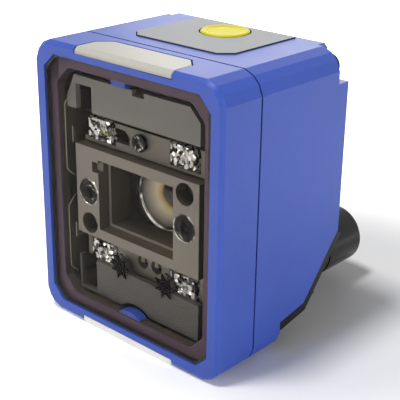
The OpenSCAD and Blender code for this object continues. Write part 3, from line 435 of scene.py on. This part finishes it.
lensLow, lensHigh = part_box("front_lens")
lensAt = (lensLow + lensHigh) / 2
lensSet = {  # tones from the middle of the lens to its edge, radii in mm: a dark pupil, then warm rings of painted reflection; the hollow is sunk into its front
    "radii": (0.0, 2.4, 2.6, 3.0, 3.6, 4.4, 5.2, 5.9),
    "tones": (
        (0.008, 0.006, 0.004), (0.03, 0.018, 0.008), (0.46, 0.28, 0.09), (0.82, 0.63, 0.30),
        (0.88, 0.79, 0.56), (0.60, 0.53, 0.42), (0.32, 0.29, 0.25), (0.05, 0.045, 0.04),
    ),
    "gloss": {"Roughness": 0.16, "Specular IOR Level": 0.2, "Coat Weight": 0.15, "Coat Roughness": 0.04},
    "pupil": 2.5, "mouth": 5.6, "depth": 2.4, "edge": 0.2, "segments": 64,
}


def lensFinish(name, s):  # lens: dark in the middle, with warm rings of painted reflection round it, under a clear gloss
    tree = newFinish(name)
    shader = tree.nodes["Principled BSDF"]
    flat = vectorOf(tree, "MULTIPLY", objectCoords(tree), (1, 0, 1))[0]
    away = vectorOf(tree, "DISTANCE", flat, (lensAt.x, 0, lensAt.z))["Value"]
    last = s["radii"][-1]
    run = addNode(tree, "ShaderNodeMapRange", {"Value": away, "From Max": last * mm}).outputs[0]
    ramp = addNode(tree, "ShaderNodeValToRGB", {0: run})
    while len(ramp.color_ramp.elements) < len(s["radii"]):
        ramp.color_ramp.elements.new(0.5)
    rampStops(ramp, [radius / last for radius in s["radii"]], s["tones"])
    tree.links.new(ramp.outputs[0], shader.inputs["Base Color"])
    for socket, value in s["gloss"].items():
        shader.inputs[socket].default_value = value


for finishName, finishValues in finishSet.items():
    grainFinish(finishName, finishValues)
for finishName, finishValues in clearSet.items():
    clearFinish(finishName, finishValues)
sparkleFinish("lampClear", sparkleSet)
lensFinish("lensCoated", lensSet)

nodeFinish = {
    "housingBlue": "front_cover rear_housing",
    "blackRubber": "cover_seal window_gasket block_gasket connector_seals",
    "blackSteel": "cover_screws",
    "wornBlack": "mask_screws bar_screw",
    "brightSteel": "chassis_screws holder_screws board_screws keypad_screws block_screws",
    "dullSteel": "lens_lock_ring",
    "windowClear": "window_glass",
    "opticClear": "rear_lens",
    "lensCoated": "front_lens",
    "lampClear": "lamp_lenses",
    "bondTint": "window_bond",
    "guideCream": "upper_indicator",
    "guideWhite": "lower_indicator",
    "phosphor": "indicator_leds lamp_emitters",
    "maskGrey": "inner_mask",
    "plateGrey": "upper_plate",
    "lowerGrey": "lower_plate",
    "barBrown": "upper_lamp_bar lower_lamp_bar",
    "lensBlack": "chassis lens_barrel lens_holder aiming_modules",
    "deepBlack": "upper_lamp_board lower_lamp_board star_clips",
    "chipBlack": "image_sensor processor_chip beeper push_switch power_insert network_insert",
    "brassTurned": "board_pillars",
    "boardGreen": "sensor_board processor_board keypad_board",
    "plugCream": "board_connector",
    "panelGrey": "keypad_panel",
    "buttonYellow": "button",
    "connectorBlack": "connector_block power_connector network_connector",
    "contactGold": "power_pins network_pins",
}
finishOf = {node: finish for finish, names in nodeFinish.items() for node in names.split()}
for nodeName, finishName in finishOf.items():
    slots = nodes[nodeName].data.materials
    slots.clear()
    slots.append(finishes[finishName])
print("materials:", len(finishes), "finishes on", len(finishOf), "pieces")


# softened copies of the rigid pieces

softSet = {  # edge radius in mm, segments, least edge angle, least edge length in mm
    "front_cover": {"radius": 0.45, "segments": 4, "angle": 18, "length": 1.0},
    "rear_housing": {"radius": 0.40, "segments": 4, "angle": 18, "length": 0.9},
    "upper_indicator": {"radius": 0.22, "segments": 3, "angle": 18, "length": 0.3},
    "lower_indicator": {"radius": 0.22, "segments": 3, "angle": 18, "length": 0.3},
    "window_gasket": {"radius": 0.05, "segments": 2, "angle": 40, "length": 0.3},
    "window_glass": {"radius": 0.12, "segments": 2, "angle": 18, "length": 0.3},
    "connector_block": {"radius": 0.35, "segments": 3, "angle": 20, "length": 1.2},
    "inner_mask": {"radius": 0.16, "segments": 2, "angle": 40, "length": 0.2},
    "upper_plate": {"radius": 0.28, "segments": 2, "angle": 30, "length": 0.8},
    "lower_plate": {"radius": 0.16, "segments": 2, "angle": 60, "length": 0.8},
    "upper_lamp_bar": {"radius": 0.10, "segments": 2, "angle": 30, "length": 0.6},
    "lower_lamp_bar": {"radius": 0.08, "segments": 2, "angle": 60, "length": 0.6},
    "lamp_lenses": {"radius": 0.22, "segments": 2, "angle": 40, "length": 0.8},
    "mask_screws": {"radius": 0.18, "segments": 3, "angle": 40, "length": 0.1, "groove": 0.35, "sink": 0.25},
    "bar_screw": {"radius": 0.22, "segments": 3, "angle": 40, "length": 0.1},
    "cover_screws": {"radius": 0.18, "segments": 3, "angle": 40, "length": 0.1},
    "block_screws": {"radius": 0.12, "segments": 2, "angle": 40, "length": 0.1},
    "lens_barrel": {"radius": 0.18, "segments": 2, "angle": 40, "length": 0.1},
    "lens_lock_ring": {"radius": 0.2, "segments": 2, "angle": 40, "length": 0.1},
    "power_connector": {"radius": 0.25, "segments": 3, "angle": 40, "length": 0.1},
    "network_connector": {"radius": 0.25, "segments": 3, "angle": 40, "length": 0.1},
}
meshSet = {  # lengths in mm, angles in degrees; straight is how far a normal has to point one way
    "merge": 0.002, "ringMerge": 0.001, "flat": 0.6, "sharp": 38, "straight": 0.99, "level": 0.02,
}


def copyOf(node):
    bm = bmesh.new()
    bm.from_mesh(nodes[node].data)
    bmesh.ops.remove_doubles(bm, verts=bm.verts, dist=meshSet["merge"] * mm)
    return bm


def plainCopyOf(node):  # a copy with each flat face in one piece
    bm = copyOf(node)
    flat = math.radians(meshSet["flat"])
    bmesh.ops.dissolve_limit(bm, angle_limit=flat, verts=bm.verts, edges=bm.edges)
    return bm


def turnsOver(edge, angle):
    return len(edge.link_faces) == 2 and edge.calc_face_angle(0) > math.radians(angle)


def asPiece(bm, name, node, *finishNames):
    for face in bm.faces:
        face.smooth = True
    for edge in bm.edges:
        edge.smooth = not turnsOver(edge, meshSet["sharp"])
    mesh = bpy.data.meshes.new(name)
    bm.to_mesh(mesh)
    bm.free()
    for finish in finishNames or (finishOf[node],):
        mesh.materials.append(finishes[finish])
    piece = bpy.data.objects.new(name, mesh)
    scene.collection.objects.link(piece)
    even = piece.modifiers.new("even", "WEIGHTED_NORMAL")
    even.keep_sharp = True
    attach(piece, bodyOf[node])
    return piece


def roundEdges(bm, s):
    edges = [e for e in bm.edges if turnsOver(e, s["angle"]) and e.calc_length() > s["length"] * mm]
    bmesh.ops.bevel(
        bm, geom=edges, offset=s["radius"] * mm, offset_type="OFFSET", affect="EDGES",
        segments=s["segments"], profile=0.5, material=-1, clamp_overlap=True,
    )


def paintFaces(bm, chosen, index):  # faces for which chosen(middle, normal) holds get another finish
    for face in bm.faces:
        middle = face.calc_center_median()
        spot = Vector((middle.x, middle.y - frontY, middle.z - footZ)) / mm
        if chosen(spot, face.normal):
            face.material_index = index


insideSet = {  # mm; the bosses of the cover, its upper tab and its foot tab stay blue
    "front": 1.55, "side": 21.6, "foot": 1.9, "top": 54.2,
    "bossAt": (19.6, 3.9, 52.1), "bossRadius": 3.5, "bossFront": 3.4, "bossHigh": 28, "bossFacing": -0.5,
    "tabAt": (-2.4, 51.2), "tabHalf": (2.0, 1.3),
    "footTabAt": (-0.4, 6.0), "footTabHalf": (4.2, 1.0), "footTabBack": 3.5,
}


def within(spot, at, half):
    return abs(spot.x - at[0]) < half[0] and abs(spot.z - at[1]) < half[1]


def insideCover(spot, normal, s=insideSet):  # inner walls of the cover, without its bosses and tabs
    inside = spot.y > s["front"] and abs(spot.x) < s["side"] and s["foot"] < spot.z < s["top"]
    side, low, high = s["bossAt"]
    away = min(math.hypot(abs(spot.x) - side, spot.z - z) for z in (low, high))
    boss = away < s["bossRadius"] and spot.y > s["bossFront"]
    boss = boss and (spot.z > s["bossHigh"] or normal.y < s["bossFacing"])  # of the low bosses only the front stays blue; their sides get painted shade
    tab = within(spot, s["tabAt"], s["tabHalf"])
    footTab = within(spot, s["footTabAt"], s["footTabHalf"]) and spot.y < s["footTabBack"]
    return inside and not boss and not tab and not footTab


ribSet = {"side": (18.2, 18.9), "front": (2.4, 5.6), "height": (7.0, 46.0)}
ribFacing = -0.25


def ribHighlightFaces(spot, normal, s=ribSet):  # front edges of the two guide pads at each side, painted light as a painted highlight
    side = math.copysign(1, spot.x)
    near = all(low < at < high for at, (low, high) in zip((abs(spot.x), spot.y, spot.z), s.values()))
    return near and normal.y < ribFacing and normal.x * side < ribFacing


hollowSet = {"side": 21.6, "foot": 1.9, "top": 54.1, "back": 33.1, "middle": (0, 18, 30)}


def insideHousing(spot, normal, s=hollowSet):  # inner walls of the housing, painted dark as painted shade
    inside = abs(spot.x) < s["side"] and s["foot"] < spot.z < s["top"] and spot.y < s["back"]
    return inside and normal.dot(Vector(s["middle"]) - spot) > 0


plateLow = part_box("upper_plate")[0]
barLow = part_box("upper_lamp_bar")[0]
shadowLineSet = {"seen": 0.557, "wide": 0.3}  # part of the step that the eye looks past, and the painted shadow line below it
shadowLineZ = plateLow.z - (barLow.y - plateLow.y) * shadowLineSet["seen"] - shadowLineSet["wide"] * mm
facingSet = {"hood": -0.6, "mouth": (-0.9, -0.3), "edge": -0.2, "bar": -0.9}  # limits of the normals
stubFront = 2.9  # mm


def turnedAway(spot, normal):  # walls of the hood and of the holes, painted dark as painted shade
    return normal.y > facingSet["hood"]


def mouthCone(spot, normal):
    low, high = facingSet["mouth"]
    return low < normal.y < high


# painted shade on the downward faces of the upper plate
def lowerEdgeShade(spot, normal):
    return normal.z < facingSet["edge"]


def stubEnds(spot, normal):
    return spot.y < stubFront


def shadowUnderPlate(spot, normal):  # painted shadow line on the lamp bar along the plate above it
    return normal.y < facingSet["bar"] and spot.z * mm + footZ > shadowLineZ


otherFinish = {  # finish and faces painted before the edges are rounded
    "front_cover": ("insideDark", insideCover),
    "inner_mask": ("insideDark", turnedAway),
    "rear_housing": ("insideDark", insideHousing),
    "lens_barrel": ("mouthSteel", mouthCone),
    "lower_plate": ("deepBlack", stubEnds),
    "upper_lamp_bar": ("deepBlack", shadowUnderPlate),
}
edgeFinish = {  # finish and faces painted after that
    "front_cover": ("ribLight", ribHighlightFaces),
    "upper_plate": ("deepBlack", lowerEdgeShade),
}


def cutGroove(bm, width, sink):  # ring sunk into the front of a screw head
    front = min(f.calc_center_median().y for f in bm.faces) + meshSet["level"] * mm
    facing = [f for f in bm.faces if f.normal.y < -meshSet["straight"]]
    faces = [f for f in facing if f.calc_center_median().y < front]
    bmesh.ops.inset_region(bm, faces=faces, thickness=width * mm, depth=-sink * mm)


def addFinish(bm, node, names, table):
    if node in table:
        finish, chosen = table[node]
        paintFaces(bm, chosen, len(names))
        names.append(finish)


def soften(node, s):
    bm = plainCopyOf(node)
    names = [finishOf[node]]
    if node == "upper_lamp_bar":
        # the bar is cut where its painted shadow line begins
        whole = bm.verts[:] + bm.edges[:] + bm.faces[:]
        bmesh.ops.bisect_plane(bm, geom=whole, plane_co=(0, 0, shadowLineZ), plane_no=(0, 0, 1))
    addFinish(bm, node, names, otherFinish)
    roundEdges(bm, s)
    if "groove" in s:
        cutGroove(bm, s["groove"], s["sink"])
    addFinish(bm, node, names, edgeFinish)
    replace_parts(asPiece(bm, node + "_soft", node, *names), node)


for nodeName, softValues in softSet.items():
    soften(nodeName, softValues)
print("softened:", len(softSet), "pieces")

roundNodes = ["rear_lens", "connector_seals", "aiming_modules", "chassis"]
for nodeName in roundNodes:
    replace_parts(asPiece(copyOf(nodeName), nodeName + "_round", nodeName), nodeName)
print("rounded:", len(roundNodes), "pieces")


# lens front and the bright rims round the mask screws

rimSet = {"thick": 0.11, "outside": 0.06, "sides": 8, "segments": 48}


def turnedRing(bm, profile, centre, segments):  # (radius, depth) points in mm, spun about the depth
    verts = [bm.verts.new(centre + Vector((radius * mm, depth * mm, 0))) for radius, depth in profile]
    edges = [bm.edges.new(pair) for pair in zip(verts, verts[1:])]
    bmesh.ops.spin(
        bm, geom=verts + edges, cent=centre, axis=(0, 1, 0), angle=math.tau, steps=segments,
        use_merge=True, use_duplicate=False,
    )
    bmesh.ops.remove_doubles(bm, verts=bm.verts, dist=meshSet["ringMerge"] * mm)
    bmesh.ops.recalc_face_normals(bm, faces=bm.faces)


def makeLens(s):
    bm = bmesh.new()
    outer = (lensHigh.x - lensLow.x) / 2 / mm
    back = (lensHigh.y - lensLow.y) / mm - s["edge"]
    hollow = [(0, s["depth"]), (s["pupil"], s["depth"]), (s["mouth"], s["edge"])]
    profile = hollow + [(outer, 0), (outer, back), (0, back)]
    turnedRing(bm, profile, Vector((lensAt.x, lensLow.y, lensAt.z)), s["segments"])
    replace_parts(asPiece(bm, "lens_front", "front_lens"), "front_lens")


def makeRims(s):
    bm = bmesh.new()
    turn = [math.tau * i / s["sides"] for i in range(s["sides"] + 1)]
    for side in (-1, 1):
        spots = [v.co for v in nodes["mask_screws"].data.vertices if v.co.x * side > 0]
        low = Vector(min(v[i] for v in spots) for i in range(3))
        high = Vector(max(v[i] for v in spots) for i in range(3))
        centre = Vector(((low.x + high.x) / 2, low.y, (low.z + high.z) / 2))
        radius = (high.x - low.x) / 2 / mm + s["outside"]
        profile = [(radius + s["thick"] * math.cos(a), s["thick"] * math.sin(a)) for a in turn]
        turnedRing(bm, profile, centre, s["segments"])
    asPiece(bm, "screw_rims", "mask_screws", "rimSteel")


makeLens(lensSet)
makeRims(rimSet)
print("lens: hollow front and screw rims")


# keypad: sheet with painted shade on its edge, and the dished button

keypadSet = {"top": 0.9, "radius": 0.08, "segments": 2, "angle": 40, "length": 0.5}
buttonSet = {"rim": 0.85, "slope": 0.25, "dish": 0.14}


def makeKeypad(s):
    bm = plainCopyOf("keypad_panel")
    # the sides of the sheet get painted shade
    paintFaces(bm, lambda spot, normal: normal.z < s["top"], 1)
    roundEdges(bm, s)
    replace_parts(asPiece(bm, "keypad_sheet", "keypad_panel", "panelGrey", "panelEdgeShade"), "keypad_panel")


def makeButton(s):
    bm = plainCopyOf("button")
    facing = [f for f in bm.faces if f.normal.z > meshSet["straight"]]
    face = max(facing, key=lambda f: round(f.calc_center_median().z, 5))
    bmesh.ops.inset_region(bm, faces=[face], thickness=s["rim"] * mm)
    bmesh.ops.inset_region(bm, faces=[face], thickness=s["slope"] * mm, depth=-s["dish"] * mm)
    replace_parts(asPiece(bm, "button_cap", "button"), "button")


makeKeypad(keypadSet)
makeButton(buttonSet)
print("keypad: sheet and button")

scene.view_settings.view_transform = "Standard"
